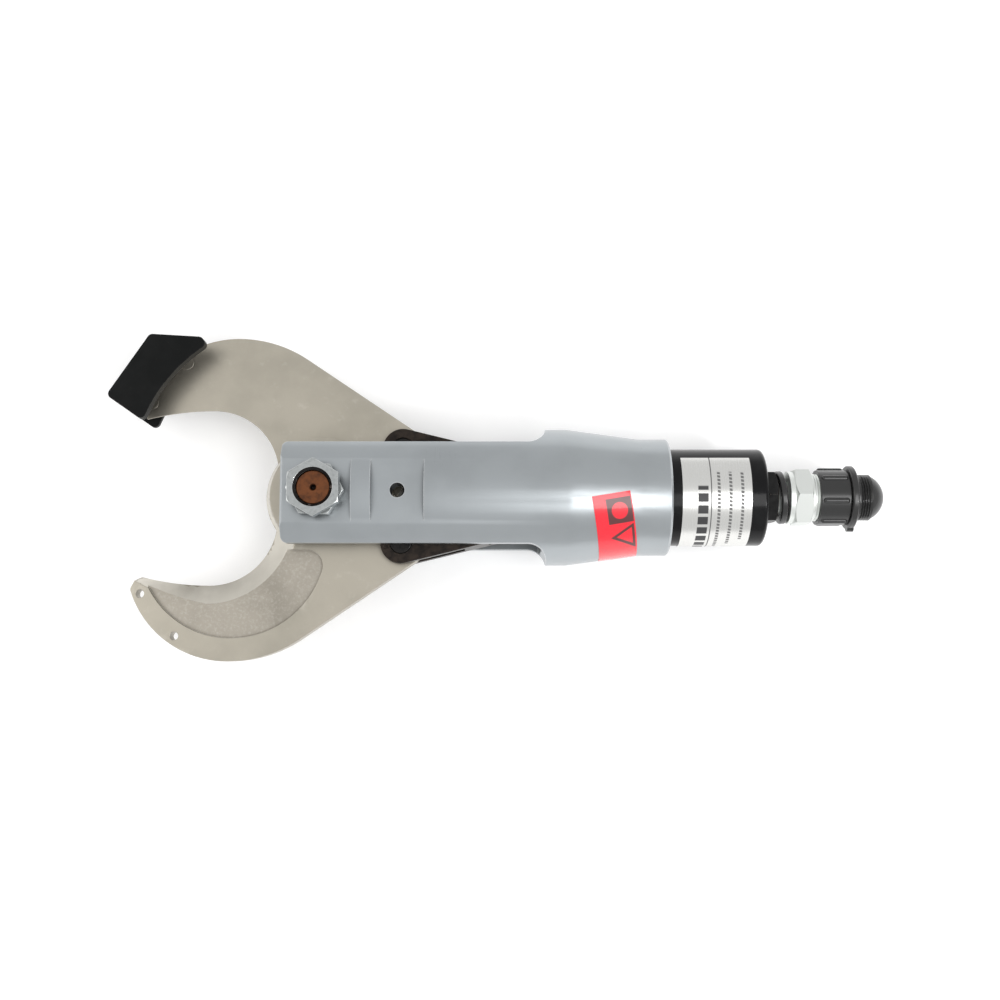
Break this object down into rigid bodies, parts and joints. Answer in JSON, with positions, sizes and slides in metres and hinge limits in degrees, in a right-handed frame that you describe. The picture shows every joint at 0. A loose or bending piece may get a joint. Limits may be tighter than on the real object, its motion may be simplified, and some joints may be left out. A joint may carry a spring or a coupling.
{
  "type": "hydraulic rescue cutter head",
  "caption": "Remote-driven hydraulic cutter head with two hooked scissor blades, a forked alloy body, a link-driven ram in a black cylinder and a capped hose coupling.",
  "frame": {"origin": "centre of the nose face of the hose coupler, on the tool's axis", "axes": "+X along the tool's axis out of the coupler, +Z along the pivot bolt towards its nuts, +Y towards the jaw with the guard"},
  "size_m": [0.4302, 0.182, 0.0866],
  "materials": {
    "body_alloy": "satin grey anodised light alloy, fine turned and milled marks",
    "barrel_black": "gloss black painted steel",
    "blade_steel": "satin nickel plated tool steel",
    "bolt_steel": "brown oxidised steel",
    "hard_steel": "ground hardened steel",
    "zinc_steel": "bright zinc plated steel",
    "link_steel": "dark brown black oxide forged steel",
    "pin_steel": "black oxide steel, worn bright at the rim",
    "rod_chrome": "hard chromed ground rod",
    "seal_bronze": "bronze filled sealing plastic",
    "seal_rubber": "black nitrile rubber",
    "guide_bronze": "turned bronze",
    "spring_steel": "oil tempered spring wire",
    "adapter_black": "black oxide steel",
    "coupler_zinc": "zinc plated steel, slightly grainy",
    "cap_plastic": "gloss black moulded plastic",
    "guard_black": "matt black powder coated sheet",
    "plate_alloy": "brushed aluminium foil plate with ruled lines",
    "label_red": null
  },
  "bodies": {
    "root": {"fork_body": "body_alloy", "pivot_bolt": "bolt_steel", "pivot_bush": "hard_steel", "thrust_spacers": "hard_steel", "pivot_jam_nut": "zinc_steel", "pivot_lock_nut": "zinc_steel", "rod_guide": "guide_bronze", "rod_wiper": "seal_rubber", "spring_seat": "hard_steel", "return_spring": "spring_steel", "cylinder_barrel": "barrel_black", "barrel_set_screw": "pin_steel", "port_adapter": "adapter_black", "adapter_washer": "guide_bronze", "coupler_body": "coupler_zinc", "valve_spring": "spring_steel", "nameplate": "plate_alloy", "red_label": "label_red"},
    "upper_jaw": {"upper_blade": "blade_steel", "upper_link_pin": "pin_steel", "blade_guard": "guard_black", "guard_screws": "pin_steel", "guard_nuts": "pin_steel"},
    "lower_jaw": {"lower_blade": "blade_steel", "lower_link_pin": "pin_steel"},
    "upper_link": {"upper_link": "link_steel"},
    "lower_link": {"lower_link": "link_steel"},
    "ram": {"crosshead": "hard_steel", "ram_pins": "hard_steel", "ram_rod": "rod_chrome", "piston": "hard_steel", "wear_ring": "seal_bronze", "backup_ring": "seal_bronze", "piston_seal": "seal_rubber", "piston_nut": "zinc_steel"},
    "valve": {"valve_poppet": "coupler_zinc"},
    "strap_ring": {"strap_neck_ring": "cap_plastic"},
    "cap_strap": {"strap_cap_ring": "cap_plastic"},
    "cap": {"dust_cap": "cap_plastic", "cap_gasket": "seal_rubber"}
  },
  "joints": [
    {"name": "jaw_close", "type": "hinge", "parent": "root", "child": "upper_jaw", "pos_m": [-0.29, 0, 0], "axis": [0, 0, 1], "range_deg": [0, 47]},
    {"name": "lower_jaw_close", "type": "hinge", "parent": "root", "child": "lower_jaw", "pos_m": [-0.29, 0, 0], "axis": [0, 0, -1], "range_deg": [0, 47]},
    {"name": "upper_link_turn", "type": "hinge", "parent": "upper_jaw", "child": "upper_link", "pos_m": [-0.24578, 0.02678, 0], "axis": [0, 0, -1], "range_deg": [0, 72]},
    {"name": "lower_link_turn", "type": "hinge", "parent": "lower_jaw", "child": "lower_link", "pos_m": [-0.24578, -0.02678, 0], "axis": [0, 0, 1], "range_deg": [0, 72]},
    {"name": "ram_push", "type": "slide", "parent": "root", "child": "ram", "axis": [-1, 0, 0], "range_m": [0, 0.0434], "deforming": ["return_spring"]},
    {"name": "valve_open", "type": "slide", "parent": "root", "child": "valve", "axis": [-1, 0, 0], "range_m": [0, 0.003], "stiffness_N_per_m": 600, "deforming": ["valve_spring"]},
    {"name": "strap_ring_turn", "type": "hinge", "parent": "root", "child": "strap_ring", "pos_m": [-0.0362, 0, 0], "axis": [1, 0, 0], "continuous": true},
    {"name": "cap_pull", "type": "slide", "parent": "root", "child": "cap_strap", "axis": [1, 0, 0], "range_m": [0, 0.05]},
    {"name": "cap_turn", "type": "hinge", "parent": "cap_strap", "child": "cap", "pos_m": [0, 0, 0], "axis": [1, 0, 0], "continuous": true}
  ],
  "couplings": [
    {"joint": "lower_jaw_close", "follows": "jaw_close", "ratio": 1},
    {"joint": "upper_link_turn", "follows": "jaw_close", "ratio": 1.5286},
    {"joint": "lower_link_turn", "follows": "jaw_close", "ratio": 1.5286},
    {"joint": "ram_push", "follows": "jaw_close", "m_per_rad": 0.052845}
  ]
}
